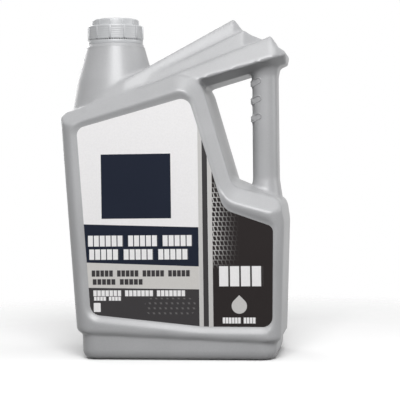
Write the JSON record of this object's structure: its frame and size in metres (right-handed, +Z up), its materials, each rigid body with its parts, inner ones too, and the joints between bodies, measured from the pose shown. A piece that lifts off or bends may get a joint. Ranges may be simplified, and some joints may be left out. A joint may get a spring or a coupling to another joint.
{
  "type": "motor oil bottle",
  "caption": "Blow-moulded motor oil jug with a pleated hollow handle, ribbed screw cap, tamper band, sealing liner and a front label in a recess.",
  "frame": {"origin": "middle of the bottle's box, on the surface it stands on", "axes": "+X towards the handle, -Y the front with the label, +Z up"},
  "size_m": [0.2094, 0.112, 0.32],
  "materials": {
    "jug_plastic": "silver-grey pearl polyethylene, fine moulded grain, satin",
    "cap_plastic": "silver-grey pearl polypropylene, satin",
    "liner_foam": "white foamed sealing disc, matt",
    "label_film": "printed plastic film, white with navy, grey and black fields, semi-gloss"
  },
  "bodies": {
    "jug": {"bottle": "jug_plastic", "front_label": "label_film", "tamper_band": "cap_plastic"},
    "seal": {"cap_liner": "liner_foam"},
    "closure": {"cap": "cap_plastic"}
  },
  "joints": [
    {"name": "cap_lift", "type": "slide", "parent": "jug", "child": "seal", "axis": [0, 0, 1], "range_m": [0, 0.0085]},
    {"name": "cap_turn", "type": "hinge", "parent": "seal", "child": "closure", "pos_m": [-0.06031, 0, 0.305], "axis": [0, 0, 1], "range_deg": [0, 720]}
  ],
  "couplings": [
    {"joint": "cap_lift", "follows": "cap_turn", "m_per_rad": 0.00066845}
  ]
}
